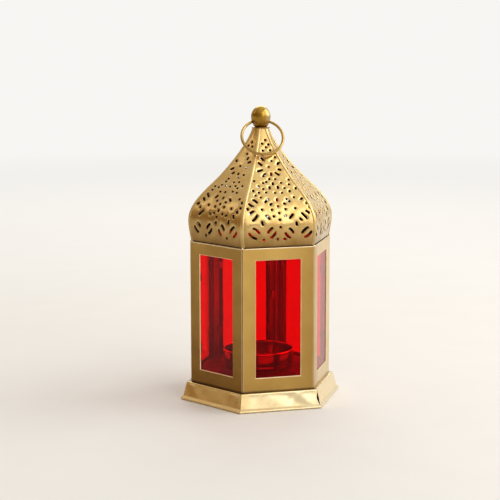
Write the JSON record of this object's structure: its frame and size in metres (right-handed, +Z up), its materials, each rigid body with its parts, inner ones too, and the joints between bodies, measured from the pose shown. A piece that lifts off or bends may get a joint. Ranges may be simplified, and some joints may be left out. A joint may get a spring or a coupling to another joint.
{
  "type": "candle lantern",
  "caption": "Six-sided sheet-brass candle lantern with red glass windows, a pierced onion dome, a flared skirt, a swinging carry ring and a hinged door.",
  "frame": {"origin": "middle of the base, on the surface the lantern stands on", "axes": "+Z up through the ball, -Y out of the front wall, +Y out of the rear door, X along two opposite corners"},
  "size_m": [0.1088, 0.0942, 0.19],
  "materials": {
    "skirt_brass": "polished, crumpled",
    "wall_brass": "satin, lacquered",
    "red_glass": "clear red, polished",
    "dome_brass": "polished, lightly hammered",
    "ridge_brass": "polished",
    "inner_brass": "satin",
    "cup_brass": "satin",
    "ball_brass": "aged, hammered",
    "ring_brass": "drawn wire, satin",
    "fitting_brass": "satin"
  },
  "bodies": {
    "lantern": {"skirt_plate_1": "skirt_brass", "skirt_plate_2": "skirt_brass", "skirt_plate_3": "skirt_brass", "skirt_plate_4": "skirt_brass", "skirt_plate_5": "skirt_brass", "skirt_plate_6": "skirt_brass", "base_tray": "inner_brass", "candle_cup": "cup_brass", "wall_frame_1": "wall_brass", "wall_frame_2": "wall_brass", "wall_frame_3": "wall_brass", "wall_frame_5": "wall_brass", "wall_frame_6": "wall_brass", "glass_pane_1": "red_glass", "glass_pane_2": "red_glass", "glass_pane_3": "red_glass", "glass_pane_5": "red_glass", "glass_pane_6": "red_glass", "pane_clips": "fitting_brass", "hinge_wall_leaves": "fitting_brass", "hinge_pins": "fitting_brass", "seat_plate": "inner_brass", "dome_gore_1": "dome_brass", "dome_gore_2": "dome_brass", "dome_gore_3": "dome_brass", "dome_gore_4": "dome_brass", "dome_gore_5": "dome_brass", "dome_gore_6": "dome_brass", "ridge_strip_1": "ridge_brass", "ridge_strip_2": "ridge_brass", "ridge_strip_3": "ridge_brass", "ridge_strip_4": "ridge_brass", "ridge_strip_5": "ridge_brass", "ridge_strip_6": "ridge_brass", "neck_cap": "inner_brass", "finial_ball": "ball_brass"},
    "door": {"door_frame": "wall_brass", "door_pane": "red_glass", "door_clips": "fitting_brass", "hinge_door_leaves": "fitting_brass"},
    "catch": {"catch_knob": "fitting_brass", "catch_tongue": "fitting_brass"},
    "ring": {"carry_ring": "ring_brass"}
  },
  "joints": [
    {"name": "ring_swing", "type": "hinge", "parent": "lantern", "child": "ring", "pos_m": [0, 0, 0.1797], "axis": [-0.9903, 0.1392, 0], "range_deg": [0, 280]},
    {"name": "door_hinge", "type": "hinge", "parent": "lantern", "child": "door", "pos_m": [-0.02473, 0.04283, 0.05785], "axis": [0, 0, 1], "range_deg": [0, 170]},
    {"name": "catch_turn", "type": "hinge", "parent": "door", "child": "catch", "pos_m": [0.0192, 0.04105, 0.05785], "axis": [0, 1, 0], "range_deg": [0, 90]}
  ]
}
